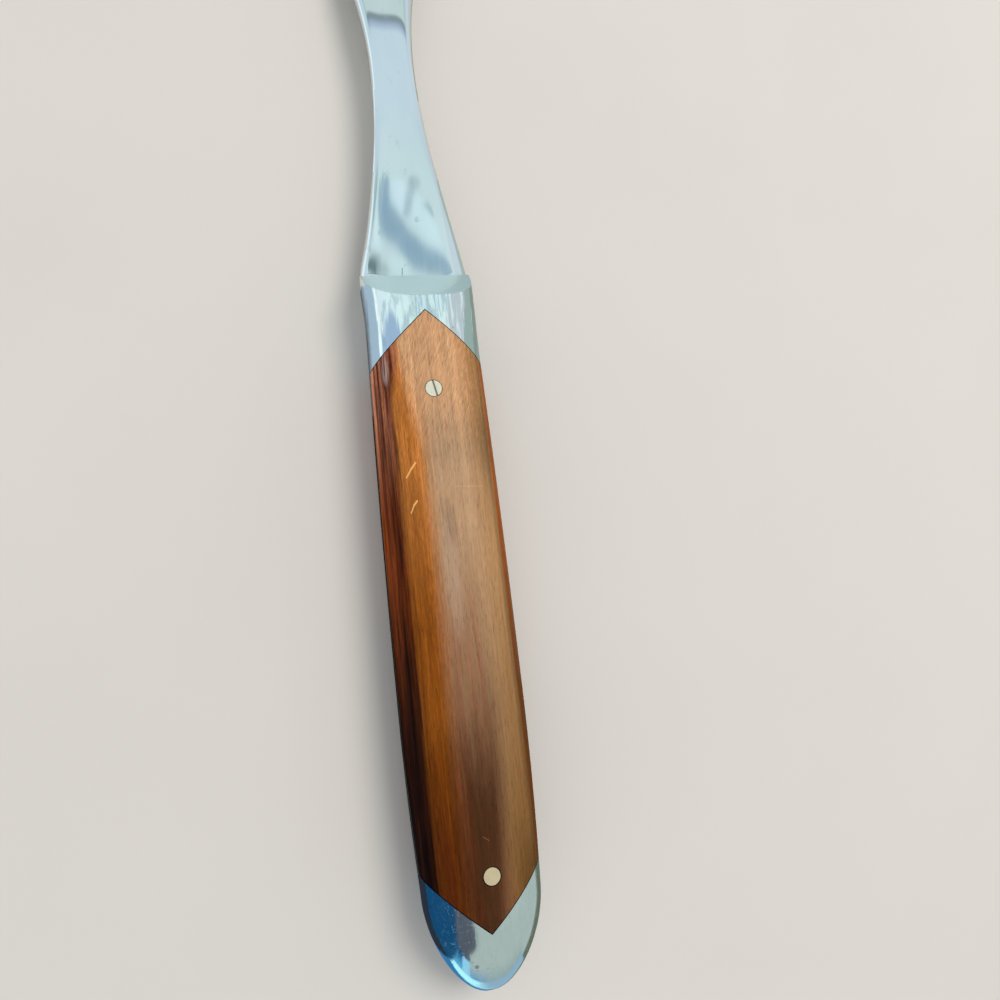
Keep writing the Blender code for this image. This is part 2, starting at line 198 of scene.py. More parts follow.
def shank_width(station):
    """Half-width outside the tines: a cosine taper to the neck, a cosine flare, then an even close."""
    base = FRONT_WIDTH / 2 - SHANK_INSET
    neck = NECK_WIDTH / 2
    run = NECK_STATION + SHANK_RUN_IN
    taper = (1 - ease((station + SHANK_RUN_IN) / run)) / (1 - ease(SHANK_RUN_IN / run))
    flare = ease((station - NECK_STATION) / (ROOT_STATION - NECK_STATION))
    along = np.clip((station - ROOT_STATION) / (TIP_STATION - ROOT_STATION), 0, 1)
    close = (ROOT_WIDTH - TINE_END_SPAN) / 2 * along
    return neck + (base - neck) * taper + (ROOT_WIDTH / 2 - neck) * flare - close


def tine_share(station):
    """How far a station lies from the roots, 0, to the start of the ground points, 1."""
    return np.clip((station - ROOT_STATION) / (POINT_STATION - ROOT_STATION), 0, 1)


def point_left(station):
    """What is left of a tine's section over its ground point: a parabola from 1 to 0 at the tip."""
    return 1 - np.clip((station - POINT_STATION) / POINT_LENGTH, 0, 1) ** 2


def shank_thickness(station):
    """Half-thickness: cosine swells from the tang to the neck and the roots, then an even taper."""
    neck = 2 * TANG_FACE + (NECK_THICKNESS - 2 * TANG_FACE) * ease(station / NECK_STATION)
    root = ease((station - NECK_STATION) / (ROOT_STATION - NECK_STATION))
    taper = (TINE_END_THICKNESS - TINE_THICKNESS) * tine_share(station)
    return (neck + (TINE_THICKNESS - NECK_THICKNESS) * root + taper) / 2 * point_left(station)


def bow(station):
    """Height of the fork's middle: level, a cosine down to the floor, then a parabola up to the tips."""
    dip = TANG_Z - FLOOR_CLEARANCE - shank_thickness(np.array(LOW_STATION))
    down = ease((station - CRANK_STATION) / (LOW_STATION - CRANK_STATION))
    up = np.clip((station - LOW_STATION) / (TIP_STATION - LOW_STATION), 0, 1)
    return TIP_RISE * up**2 - dip * down


def tine_edges(station):
    """Inner edge, ridge and outer edge of a half-section. The crotch opens as a quarter ellipse."""
    outer = shank_width(station)
    width = TINE_WIDTH + (TINE_END_WIDTH - TINE_WIDTH) * tine_share(station)
    past = np.clip((station - CROTCH_STATION) / CROTCH_LENGTH, 0, 1)
    inner = (outer - width) * np.sqrt(1 - (1 - past) ** 2)
    middle = outer - width / 2
    left = point_left(station)
    inner = np.where(past > 0, middle + (inner - middle) * left, 0)
    outer = np.where(past > 0, middle + (outer - middle) * left, outer)
    return inner, inner + (outer - inner) / 2 * ease(past), outer


def facet_drop(station, inset, width, length, slope):
    """Depth of a flat ground along a top edge: its width shrinks evenly forwards, and it falls outwards."""
    left = np.clip(1 - station / length, 0, 1)
    return np.clip(width * left - inset, 0, None) * slope


def shank_half(station, ridge, edge, *facet):
    """Half-sections |y|^p + |z|^p = 1 from the ridge's top, over an edge, to the ridge's bottom."""
    power = SHANK_POWER + (TINE_POWER - SHANK_POWER) * ease(station / ROOT_STATION)
    corner = 2 ** (-1 / power)
    flat = corner * np.sin(np.linspace(0, np.pi / 2, FACE_STEPS + 1))[:-1]
    wall = corner * np.linspace(1, -1, EDGE_STEPS + 1)
    crown = (1 - flat**power) ** (1 / power)
    bulge = (1 - np.abs(wall) ** power) ** (1 / power)
    out = np.hstack([flat, bulge, flat[:, ::-1]])
    up = np.hstack([crown, wall, -crown[:, ::-1]])
    height = bow(station) + shank_thickness(station) * up
    if facet:
        height = height - facet_drop(station, (edge - ridge) * (1 - out), *facet) * (1 + up) / 2
    return loft(HANDLE_LENGTH + station, ridge + (edge - ridge) * out, height)


butt = BUTT_LENGTH * np.linspace(0, 1, BUTT_ROWS)[1:] ** 2
grip = np.linspace(BUTT_LENGTH, HANDLE_LENGTH - TANG_STOP, TANG_ROWS)[1:]
tang = np.concatenate([butt, grip])[:, None]
shank = np.linspace(0, CROTCH_STATION, SHANK_ROWS)[:-1]
crotch = CROTCH_STATION + CROTCH_LENGTH * np.linspace(0, 1, CROTCH_ROWS) ** 2
tine = np.linspace(CROTCH_STATION + CROTCH_LENGTH, POINT_STATION, TINE_ROWS)[1:]
point = TIP_STATION - POINT_LENGTH * np.linspace(1, 0, POINT_ROWS)[1:] ** 2
split = np.concatenate([crotch, tine, point])[:, None]
whole = np.concatenate([shank[:, None], split])
left_facet = (LEFT_FACET_WIDTH, LEFT_FACET_LENGTH, LEFT_FACET_SLOPE)
right_facet = (RIGHT_FACET_WIDTH, RIGHT_FACET_LENGTH, RIGHT_FACET_SLOPE)
halves = []
for side, facet, places in ((1, left_facet, LEFT_BELLS), (-1, right_facet, RIGHT_BELLS)):
    inner, ridge, outer = tine_edges(whole)
    outer = outer + bells(whole, places)
    handle_part = tang_half(tang, bells(tang - HANDLE_LENGTH, places))
    outside = np.concatenate([handle_part, shank_half(whole, ridge, outer, *facet)])
    outside = np.concatenate([np.zeros_like(outside[:1]), outside])
    inner, ridge, outer = tine_edges(split)
    halves += [half * (1, side, 1) for half in (outside, shank_half(split, ridge, inner))]


class Field:
    """A shader socket that can stand in a Python expression, which then adds its own Math nodes."""

    def __init__(self, tree, socket=None):
        self.tree = tree
        self.socket = socket

    def node(self, kind, settings=(), sockets=(), output=0):
        """Any node: its settings first, then each socket is linked to a field or given a value."""
        made = self.tree.nodes.new(kind)
        for name, value in dict(settings).items():
            setattr(made, name, value)
        for name, value in dict(sockets).items():
            if isinstance(value, Field):
                self.tree.links.new(value.socket, made.inputs[name])
            else:
                made.inputs[name].default_value = value
        return Field(self.tree, made.outputs[output])

    def math(self, operation, *values):
        """A Math node with this operation over these fields and numbers."""
        return self.node("ShaderNodeMath", {"operation": operation}, enumerate(values))

    def __add__(self, other):
        return self.math("ADD", self, other)

    def __sub__(self, other):
        return self.math("SUBTRACT", self, other)

    def __rsub__(self, other):
        return self.math("SUBTRACT", other, self)

    def __mul__(self, other):
        return self.math("MULTIPLY", self, other)

    def __truediv__(self, other):
        return self.math("DIVIDE", self, other)

    def __pow__(self, other):
        return self.math("POWER", self, other)

    __radd__ = __add__
    __rmul__ = __mul__

    def rise(self, low, high):
        """0 below low, 1 above high, and a smooth step between. With high under low it falls instead."""
        ends = (1, 0) if high < low else (0, 1)
        sockets = {0: self, 1: min(low, high), 2: max(low, high), 3: ends[0], 4: ends[1]}
        return self.node("ShaderNodeMapRange", {"interpolation_type": "SMOOTHSTEP"}, sockets)

    def mix(self, under, over):
        """Two colours mixed by this field: 0 gives the first and 1 the second."""
        sockets = {0: self, 6: opaque(under), 7: opaque(over)}
        return self.node("ShaderNodeMix", {"data_type": "RGBA"}, sockets, 2)

    def noise(self, detail, distortion=0.0):
        """Cloudy noise from 0 to 1 over the points of this field."""
        sockets = {"Vector": self, "Scale": 1, "Detail": detail, "Distortion": distortion}
        return self.node("ShaderNodeTexNoise", (), sockets)


def opaque(colour):
    """A plain colour with full alpha, or a field as it is."""
    return colour if isinstance(colour, Field) else (*colour, 1)


def new_finish(name):
    """A material, its Principled shader, and a field of places in millimetres from the butt."""
    finish = bpy.data.materials.new(name)
    finish.use_nodes = True
    tree = finish.node_tree
    shader = tree.nodes["Principled BSDF"]
    place = Field(tree).node("ShaderNodeTexCoord", output="Object")
    shifted = place.node(
        "ShaderNodeVectorMath", {"operation": "SUBTRACT"}, {0: place, 1: (BUTT_X, 0, TANG_Z)}
    )
    spot = shifted.node("ShaderNodeVectorMath", {"operation": "SCALE"}, {0: shifted, "Scale": 1000})
    return finish, shader, spot


def axis(spot, letter):
    """One coordinate of a field of points."""
    return spot.node("ShaderNodeSeparateXYZ", (), {0: spot}, letter)


def stretched(spot, scale):
    """The same points with each axis scaled, so that noise over them runs in streaks."""
    return spot.node("ShaderNodeVectorMath", {"operation": "MULTIPLY"}, {0: spot, 1: scale})


def feed(shader, socket, field):
    """Links a field to an input of a shader node."""
    field.tree.links.new(field.socket, shader.inputs[socket])


def bump(height, depth):
    """A normal from a height field whose full range stands for this depth in metres."""
    return height.node("ShaderNodeBump", (), {"Height": height, "Distance": depth, "Strength": 1})


def mark(along, across, start, end, width):
    """1 on a straight line between two places, falling smoothly to 0 at this distance from it."""
    run = end[0] - start[0], end[1] - start[1]
    length = max(run[0] ** 2 + run[1] ** 2, 1e-9)
    ahead = along - start[0]
    aside = across - start[1]
    share = (ahead * run[0] + aside * run[1]) / length
    share = share.math("MAXIMUM", share.math("MINIMUM", share, 1), 0)
    gap = (ahead - share * run[0]) ** 2 + (aside - share * run[1]) ** 2
    return gap.math("SQRT", gap).rise(width, width / 2)


def fork_steel():
    """Buffed stainless: faint polishing lines, soft waves, a nick at the shank's foot, painted shade on the
    tang's edge.
    """
    finish, shader, spot = new_finish("buffed_fork_steel")
    along = axis(spot, "X")
    cloud = stretched(spot, (0.05, 0.11, 0.11)).noise(3)
    wave = stretched(spot, (0.03, 0.09, 0.09)).noise(1)
    lines = stretched(spot, (0.09, 5.0, 5.0)).noise(4)
    dirt = stretched(spot, (0.3, 0.5, 0.5)).noise(3).rise(0.62, 0.75)
    nick = mark(along, axis(spot, "Y"), *NICK)
    colour = cloud.rise(0.3, 0.7).mix(CLOUDED_STEEL, BUFFED_STEEL)
    # Painted shade: the tang's edge, where it shows between the scales, is darkened to brown.
    shaded_tang_edge = along.rise(120, 117) * along.rise(15, 18)
    colour = (0.8 * shaded_tang_edge).mix(colour, TANG_EDGE_SHADE)
    feed(shader, "Base Color", (0.6 * nick + 0.12 * dirt).mix(colour, STEEL_DIRT))
    feed(shader, "Roughness", 0.02 + 0.03 * lines + 0.02 * cloud + 0.05 * dirt)
    feed(shader, "Normal", bump(0.01 * lines + 6 * wave, FORK_RELIEF))
    shader.inputs["Metallic"].default_value = 1
    return finish


def rod_hole(name, clearance, beyond):
    """The hole for an upright rod: its station, its distance off, its radius and its two levels."""
    low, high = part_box(name)
    middle = (low + high) / 2
    radius = (high.x - low.x) / 2 + clearance
    return middle.x - BUTT_X, middle.y, radius, low.z - TANG_Z - beyond, high.z - TANG_Z + beyond


def drill(piece, holes):
    """Cuts upright round holes in a piece, by taking rods away from its mesh."""
    turn = np.linspace(0, 2 * np.pi, DRILL_SIDES + 1)
    rods = []
    for station, off, radius, low, high in holes:
        reach = radius * np.array([0, 1, 1, 0])[:, None]
        level = np.array([low, low, high, high])[:, None]
        rods.append(loft(station + reach * np.cos(turn), off + reach * np.sin(turn), level))
    cutter = add_mesh("drill_bit", rods)
    cut = piece.modifiers.new("holes", "BOOLEAN")
    cut.object = cutter
    drilled = bpy.data.meshes.new_from_object(piece.evaluated_get(bpy.context.evaluated_depsgraph_get()))
    piece.modifiers.clear()
    piece.data = drilled
    drilled.set_sharp_from_angle(angle=SHARP_EDGE)
    bpy.data.objects.remove(cutter)


def finish_piece(piece, finish, slot, *nodes):
    """A piece takes its finish, rides on the fork's one body and stands for its node. The slot is not used.
    """
    piece.data.materials.clear()
    piece.data.materials.append(finish)
    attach(piece, "root")
    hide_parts(*nodes)


pin_holes = {}
dowel_holes = {}
for end in ("front", "rear"):
    name = f"{end}_scale_pin"
    pin_holes[name] = rod_hole(name, PIN_HOLE_CLEARANCE, PIN_HOLE_BEYOND)
    for hand in ("left", "right"):
        name = f"{end}_bolster_dowel_{hand}"
        dowel_holes[name] = rod_hole(name, DOWEL_HOLE_CLEARANCE, DOWEL_HOLE_BEYOND)
fork = add_mesh("forged_fork", halves)
drill(fork, [*pin_holes.values(), *dowel_holes.values()])
finish_piece(fork, fork_steel(), "fork_steel", "fork")

# Half-bolsters: two pairs of stainless pads, brazed on the tang's two faces and ground with it to one form.
# The front pair has a flat bevelled front and a V notch, and the rear pair is the round butt with a notch.
# The front corner on the right was ground less than the rest, so the form is squarer there.
BRAZE_LINE = 0.00003
FRONT_SETBACK = 0.0093
FRONT_APEX = HANDLE_LENGTH - FRONT_SETBACK
REAR_APEX = 0.0114
FRONT_V_SLOPE = 1 / math.tan(math.radians(94) / 2)
REAR_V_SLOPE = 1 / math.tan(math.radians(95) / 2)
BEVEL_SLOPE = math.tan(math.radians(42))
SQUARE_POWER = 4.2
SQUARE_LENGTH = 0.0180
CROWN_COLUMNS = 129
CAP_ROWS = 70
BEVEL_ROWS = 14
BUTT_CAP_ROWS = 120
HALVINGS = 45
SATIN_STEEL = (0.62, 0.67, 0.67)
BRIGHT_STEEL = (0.72, 0.76, 0.76)
PAINTED_BLUE_REFLECTION = (0.36, 0.44, 0.60)
PAINTED_BRIGHT_REFLECTION = (0.84, 0.90, 0.88)
PAINTED_DULL_REFLECTION = (0.56, 0.63, 0.66)
GROUND_STEEL = (0.77, 0.97, 1.0)
PAINTED_CORNER_SHADE = (0.70, 0.90, 1.0)
CORNER_OFF = -8.0
CORNER_SPREAD = 4.2
CORNER_RISE = 5
CORNER_BEND = 2.3
WEDGE_OFF = 6.3
WEDGE_FRONT = 123
WEDGE_SPREAD = 0.22
PIT_GREY = (0.20, 0.20, 0.19)
PIT_PLACE = (6.3, 2.9)
PIT_REACH = 0.45
BOLSTER_RELIEF = 0.00002


def form_points(station, share, seat):
    """Points of the handle's oval: share runs from one edge of the seat over the crown to the other."""
    height = np.maximum(half_thickness(station), seat)
    squarer = ease((station - HANDLE_LENGTH + SQUARE_LENGTH) / SQUARE_LENGTH)
    right_power = FORM_POWER + (SQUARE_POWER - FORM_POWER) * squarer
    start = np.arcsin((seat / height) ** (FORM_POWER / 2))
    end = np.pi - np.arcsin((seat / height) ** (right_power / 2))
    crest = np.pi / 2
    left_turn = start + 2 * share * (crest - start)
    right_turn = crest + (2 * share - 1) * (end - crest)
    turn = np.where(share < 0.5, left_turn, right_turn)
    power = np.where(share < 0.5, FORM_POWER, right_power)
    across = np.sign(0.5 - share) * np.abs(np.cos(turn)) ** (2 / power)
    width = half_width(station) + np.where(share < 0.5, bells(station - HANDLE_LENGTH, LEFT_BELLS), 0)
    return width * across, height * np.sin(turn) ** (2 / power)


def where_zero(test, low, high, share):
    """The station at which a test that rises with it crosses zero, for each share, by halving."""
    low = np.full_like(share, low)
    high = np.full_like(share, high)
    for _ in range(HALVINGS):
        middle = (low + high) / 2
        past = test(middle) > 0
        low, high = np.where(past, low, middle), np.where(past, middle, high)
    return low


def crown_grid(start, end, share, seat, spread):
    """The handle's form over the seat, from a start edge to an end edge, in rows at these shares."""
    station = start + (end - start) * spread[:, None]
    across, up = form_points(station, share, seat)
    return loft(station, across, up)


def padded_down(lid, seat, side):
    """A closed body under a lid: the lid, its shadow on the seat, and a wall down from each end row."""
    floor = lid.copy()
    floor[..., 2] = seat
    walls = [np.stack([lid[row], floor[row]]) for row in (0, -1)]
    return [grid * (1, 1, side) for grid in (lid, floor, *walls)]


def notch_gap(apex, slope, share, seat):
    """A test for stations: how far the form lies ahead of a V with this apex and slope of its arms."""
    return lambda station: station - apex - slope * np.abs(form_points(station, share, seat)[0])


def bevel_gap(share, seat):
    """A test for stations: how far the form stands above the plane that rises from the front's foot."""
    foot = seat + BEVEL_SLOPE * HANDLE_LENGTH
    return lambda station: form_points(station, share, seat)[1] - foot + BEVEL_SLOPE * station


def bolster_steel(seat):
    """Worn polish: lengthwise waves and scratches, cross hairlines, a few pits, a plain ground bevel."""
    finish, shader, spot = new_finish("worn_bolster_steel")
    along = axis(spot, "X")
    off = axis(spot, "Y")
    above = axis(spot, "Z").math("ABSOLUTE", axis(spot, "Z")) - seat * 1000
    bevel = (above - BEVEL_SLOPE * (HANDLE_LENGTH * 1000 - along)).rise(-0.05, -0.01)
    worn = 0.35 + 0.65 * along.rise(60, 110)
    wave = stretched(spot, (0.10, 0.45, 0.45)).noise(2)
    streak = stretched(spot, (0.09, 1.3, 1.3)).noise(3, distortion=0.6)
    fine = stretched(spot, (0.16, 7.0, 7.0)).noise(4)
    dull = stretched(spot, (0.22, 0.30, 0.30)).noise(3)
    hairs = stretched(spot, (2.6, 0.7, 0.7)).noise(4).rise(0.64, 0.70)
    pits = stretched(spot, (1.3, 1.3, 1.3)).noise(2).rise(0.74, 0.78)
    pits = pits + mark(along, off, PIT_PLACE, PIT_PLACE, PIT_REACH)
    patch = stretched(spot, (0.12, 0.9, 0.9)).noise(3, distortion=1.0)
    nicks = stretched(spot, (2.2, 4.5, 4.5)).noise(3, distortion=1.5).rise(0.66, 0.72)
    nicks = nicks * along.rise(60, 30)
    colour = (0.3 * streak.rise(0.30, 0.70)).mix(SATIN_STEEL, BRIGHT_STEEL)
    # Painted reflections: the front pair's steel is streaked between a dull and a bright colour, and shifts
    # across its width.
    painted_streaks = (patch + 0.014 * off).rise(0.40, 0.60).mix(PAINTED_DULL_REFLECTION, PAINTED_BRIGHT_REFLECTION)
    colour = along.rise(60, 100).mix(colour, painted_streaks)
    # A painted reflection: a blue wedge on the left of the front pair, pointed at its front end.
    aside = off - WEDGE_OFF + 3 * (patch - 0.5)
    blue_reflection = (aside.math("ABSOLUTE", aside) - WEDGE_SPREAD * (WEDGE_FRONT - along)).rise(0.4, -0.4)
    blue_reflection = blue_reflection * along.rise(WEDGE_FRONT, WEDGE_FRONT - 4) * along.rise(90, 108)
    colour = (0.9 * blue_reflection).mix(colour, PAINTED_BLUE_REFLECTION)
    colour = (0.7 * pits).mix(colour, PIT_GREY)
    # Painted shade: the bevel is darker on its right corner, beyond a curved line.
    corner = (off - CORNER_OFF - CORNER_SPREAD * (above / CORNER_RISE) ** CORNER_BEND).rise(0.06, -0.06)
    feed(shader, "Base Color", bevel.mix(colour, corner.mix(GROUND_STEEL, PAINTED_CORNER_SHADE)))
    feed(shader, "Roughness", 0.06 + 0.22 * fine * dull + 0.08 * hairs + 0.2 * bevel)
    scratched = 0.7 * hairs + 0.9 * nicks - 0.8 * pits
    relief = (1 - bevel) * (0.12 * fine + worn * (1.6 * streak + 4 * wave) + scratched)
    feed(shader, "Normal", bump(relief, BOLSTER_RELIEF))
    shader.inputs["Metallic"].default_value = 1
    return finish


share = np.linspace(0, 1, CROWN_COLUMNS)
seat = TANG_FACE + BRAZE_LINE
front_notch = notch_gap(FRONT_APEX, -FRONT_V_SLOPE, share, seat)
notch = where_zero(front_notch, HANDLE_LENGTH / 2, HANDLE_LENGTH, share)
brow = where_zero(bevel_gap(share, seat), HANDLE_LENGTH / 2, HANDLE_LENGTH, share)
cap = crown_grid(notch, brow, share, seat, np.linspace(0, 1, CAP_ROWS))
foot = loft(HANDLE_LENGTH, cap[-1, :, 1], seat)
slope = cap[-1] + (foot - cap[-1]) * np.linspace(0, 1, BEVEL_ROWS)[1:, None, None]
nose = where_zero(lambda station: half_thickness(station) - seat, 0, BUTT_LENGTH, np.zeros(1))
notch = where_zero(notch_gap(REAR_APEX, REAR_V_SLOPE, share, seat), 0, HANDLE_LENGTH / 2, share)
lids = {
    "front": np.concatenate([cap, slope]),
    "rear": crown_grid(nose, notch, share, seat, np.linspace(0, 1, BUTT_CAP_ROWS) ** 2),
}
worn_steel = bolster_steel(seat)
for end, lid in lids.items():
    for level, side in (("top", 1), ("bottom", -1)):
        pad = add_mesh(f"{end}_pad_{level}", padded_down(lid, seat, side))
        drill(pad, [hole for name, hole in dowel_holes.items() if name.startswith(end)])
        finish_piece(pad, worn_steel, "bolster_steel", f"{end}_bolster_{level}")

# Dowels: blind rods of plain drawn steel, which locate each pair of half-bolsters across the tang.
# They are sealed inside, so the solids stay as they are and only get a drawn finish.
DRAWN_GREYS = ((0.50, 0.51, 0.52), (0.62, 0.63, 0.64))


def drawn_steel():
    """Cold-drawn rod: a dull grey with rings along its length."""
    finish, shader, spot = new_finish("drawn_dowel_steel")
    rings = stretched(spot, (0.4, 0.4, 9.0)).noise(3)
    feed(shader, "Base Color", rings.mix(*DRAWN_GREYS))
    feed(shader, "Roughness", 0.25 + 0.2 * rings)
    shader.inputs["Metallic"].default_value = 1
    return finish


dowel_finish = drawn_steel()
for name in dowel_holes:
    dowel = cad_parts[name]
    dowel.data.materials.clear()
    dowel.data.materials.append(dowel_finish)

# Scales: two slabs of an oily, rosewood-like hardwood, glued on the tang and shaped with it. Their pointed
# ends fill the V notches. The left flank is dark heartwood. The pale crown is a painted sheen of the sky,
# and a painted glint sits at the front of the left flank.
GLUE_LINE = 0.0003
JOINT_LINE = 0.00016
HALF_WIDTH_MM = 11.4
CROWN_ROWS = 180
FIGURE_TURN = math.radians(23)
WOOD_RELIEF = 0.00003
AMBER = (0.47, 0.166, 0.034)
COPPER = (0.27, 0.077, 0.006)
CHESTNUT = (0.155, 0.043, 0.001)
STRAW = (0.47, 0.298, 0.176)
REAR_CROWN = (0.165, 0.079, 0.018)
HONEY = (0.56, 0.318, 0.168)
ROSE = (0.245, 0.105, 0.058)
UMBER = (0.050, 0.017, 0.005)
GARNET = (0.120, 0.022, 0.002)
PINK_VEIN = (0.46, 0.165, 0.082)
RED_VEIN = (0.26, 0.052, 0.007)
DARK_VEIN = (0.100, 0.020, 0.009)
RED_HEART = (0.046, 0.011, 0.003)
DARK_HEART = (0.015, 0.005, 0.002)
LILAC_GREY = (0.50, 0.385, 0.315)
RUSSET = (0.29, 0.077, 0.004)
TAN = (0.115, 0.035, 0.002)
WARMED = (1.0, 0.88, 0.66)
SCRATCHED = (0.88, 0.47, 0.16)
PAINTED_GLINT = (0.50, 0.44, 0.41)
SMUDGE = ((80.5, 0.02), (5, 0.15))
SHEEN = ((72, 0.02), (13, 0.17))
GLINT_OVAL = ((109.8, 8.3), (3.6, 0.75))
SCRATCHES = (
    ((91.9, 4.70), (90.9, 5.5), 0.21, 0.95),
    ((90.9, 5.5), (89.4, 6.5), 0.18, 0.90),
    ((85.0, 5.1), (84.3, 5.7), 0.20, 0.95),
    ((84.3, 5.7), (83.0, 6.3), 0.17, 0.80),
    ((87.0, -2.0), (86.8, -7.2), 0.14, 0.16),
    ((27.2, -0.1), (26.5, -1.0), 0.10, 0.12),
)


def oval(along, across, place, reach):
    """0 in the middle of an oval and 1 on its edge: the squares of both offsets over both reaches."""
    return ((along - place[0]) / reach[0]) ** 2 + ((across - place[1]) / reach[1]) ** 2


def rosewood():
    """Striped hardwood: colour bands across the handle, streaks and pores along it, a thin oil finish."""
    finish, shader, spot = new_finish("striped_rosewood")
    along = axis(spot, "X")
    off = axis(spot, "Y")
    wander = stretched(spot, (0.03, 0.12, 0.12)).noise(2)
    broad = stretched(spot, (0.020, 0.60, 0.60)).noise(3)
    streak = stretched(spot, (0.045, 1.5, 1.5)).noise(4, distortion=0.3)
    hair = stretched(spot, (0.12, 3.2, 3.2)).noise(3)
    grit = stretched(spot, (0.6, 4.0, 4.0)).noise(2)
    patch = stretched(spot, (0.09, 0.8, 0.8)).noise(3, distortion=0.5)
    pore = stretched(spot, (0.45, 6.0, 6.0)).noise(2).rise(0.60, 0.72)
    turned = spot.node("ShaderNodeMapping", (), {"Vector": spot, "Rotation": (0, 0, FIGURE_TURN)})
    figure = stretched(turned, (0.5, 3.6, 3.6)).noise(3)
    plain = off / HALF_WIDTH_MM + 0.05 * (wander - 0.5)
    across = plain + 0.14 * (streak - 0.5) + 0.10 * (broad - 0.5)

    # Lighter towards the front and darker towards the butt, in the bands and the crown alike: partly the
    # wood's own tone, partly painted light and shade.
    toward_front = along.rise(4, 97)
    band = along.rise(60, 92).mix(along.rise(37, 49).mix(CHESTNUT, COPPER), AMBER)
    # The pale crown is a painted sheen of the sky on the oil finish.
    crown = across.rise(0.41, 0.06)
    colour = crown.mix(band, toward_front.mix(REAR_CROWN, STRAW))
    front = along + 22 * (streak - 0.5) - 30 * across.rise(0.30, 0.80)
    colour = front.rise(92, 109).mix(colour, HONEY)
    rose = across.rise(0.40, 0.10) * across.rise(-0.50, -0.26) * along.rise(82, 54)
    rose = rose * (0.15 + 0.45 * broad.rise(0.3, 0.7) + 0.40 * streak.rise(0.42, 0.60))
    colour = rose.mix(colour, ROSE)
    past = 40 - along + 16 * (patch - 0.5)
    heart = (across + 0.40 - 0.006 * past).rise(-0.15, 0.16)
    heart = heart * across.rise(0.44, 0.14) * past.rise(-20, 10)
    colour = (0.92 * heart).mix(colour, UMBER)
    glow = stretched(spot, (0.06, 0.40, 0.40)).noise(3, distortion=0.5)
    red = (0.5 + 0.4 * glow.rise(0.46, 0.66)) * along.rise(54, 24) * across.rise(0.0, 0.30)
    colour = red.mix(colour, GARNET)
    vein = (0.55 * streak + 0.45 * broad).rise(0.38, 0.58)
    light_vein = along.rise(40, 76).mix(RED_HEART, RED_VEIN)
    light_vein = along.rise(80, 102).mix(light_vein, PINK_VEIN)
    dark_vein = along.rise(50, 100).mix(DARK_HEART, DARK_VEIN)
    # A lighter edge on the outer left flank: partly the wood's own colour, partly a painted highlight.
    outer = across.rise(0.84, 0.95) * along.rise(62, 84)
    flank = (across + 0.0008 * (along - 50) + 0.10 * along.rise(103, 112)).rise(0.64, 0.76)
    inner_wood = vein.mix(dark_vein, light_vein)
    colour = flank.mix(colour, (0.75 * outer).mix(inner_wood, light_vein))
    rim = plain.rise(-0.80, -0.86)
    colour = rim.mix(colour, along.rise(40, 90).mix(TAN, RUSSET))

    dark_lines = plain.rise(0.56, 0.68) * streak.rise(0.50, 0.60) * along.rise(116, 100)
    rim_line = plain.rise(-0.74, -0.80) * plain.rise(-0.86, -0.80)
    smudge = oval(along, across, *SMUDGE).rise(1.5, 0.0) * patch.rise(0.35, 0.60)
    sheen = oval(along, across, *SHEEN).rise(1.3, 0.0)
    colour = (0.30 * sheen * (0.4 + broad)).mix(colour, LILAC_GREY)
    warmed = plain.rise(-0.30, -0.78).mix((1, 1, 1), WARMED)
    colour = colour.node("ShaderNodeVectorMath", {"operation": "MULTIPLY"}, {0: colour, 1: warmed})
    edge_shade = 0.10 + 0.32 * along.rise(72, 96) + 0.25 * along.rise(30, 20)
    edge_shade = plain.rise(-0.45, -0.72) * edge_shade * (1 - rim)
    tone = (0.77 + 0.46 * hair) * (0.77 + 0.46 * streak) * (0.84 + 0.32 * broad) * (0.82 + 0.36 * grit)
    tone = tone ** (1.0 + 1.1 * (1 - crown) + 0.6 * rim) * (1 - 0.25 * pore) * (1 - 0.6 * dark_lines)
    tone = tone * (1 - 0.32 * smudge) * (1 - 0.3 * rim_line) * (1 - edge_shade)
    # Darker at the rear of the left half, partly painted shade; brighter on the left flank's outer edge,
    # partly a painted highlight.
    tone = tone * (1 - 0.28 * along.rise(38, 20) * plain.rise(0.0, 0.3)) * (1 + 0.8 * outer)
    tone = tone * (1 - 0.40 * plain.rise(0.68, 0.76) * plain.rise(0.90, 0.82) * along.rise(96, 82))
    tone = tone * (1 + 0.9 * along.rise(84, 104) * (figure - 0.5))
    tone = tone * (1 - 0.12 * crown * along.rise(88, 94) * along.rise(103, 98))
    seam = across.rise(0.36, 0.48) * (1 - flank) * along.rise(42, 54) * along.rise(92, 86)
    tone = tone * (1 - 0.17 * seam)
    colour = colour.node("ShaderNodeVectorMath", {"operation": "SCALE"}, {0: colour, "Scale": tone})
    for start, end, width, strength in SCRATCHES:
        colour = (strength * mark(along, off, start, end, width)).mix(colour, SCRATCHED)
    # A painted glint: a pale, soft highlight on the finish at the top of the left flank, by the front
    # bolster.
    glint = oval(along, off, *GLINT_OVAL).rise(1.0, 0.0) * hair.rise(0.36, 0.58)
    feed(shader, "Base Color", (0.6 * glint).mix(colour, PAINTED_GLINT))
    feed(shader, "Roughness", 0.32 + 0.14 * streak + 0.15 * pore)
    feed(shader, "Normal", bump(0.6 * hair + 0.4 * streak - pore, WOOD_RELIEF))
    shader.inputs["Specular IOR Level"].default_value = 0.07
    return finish


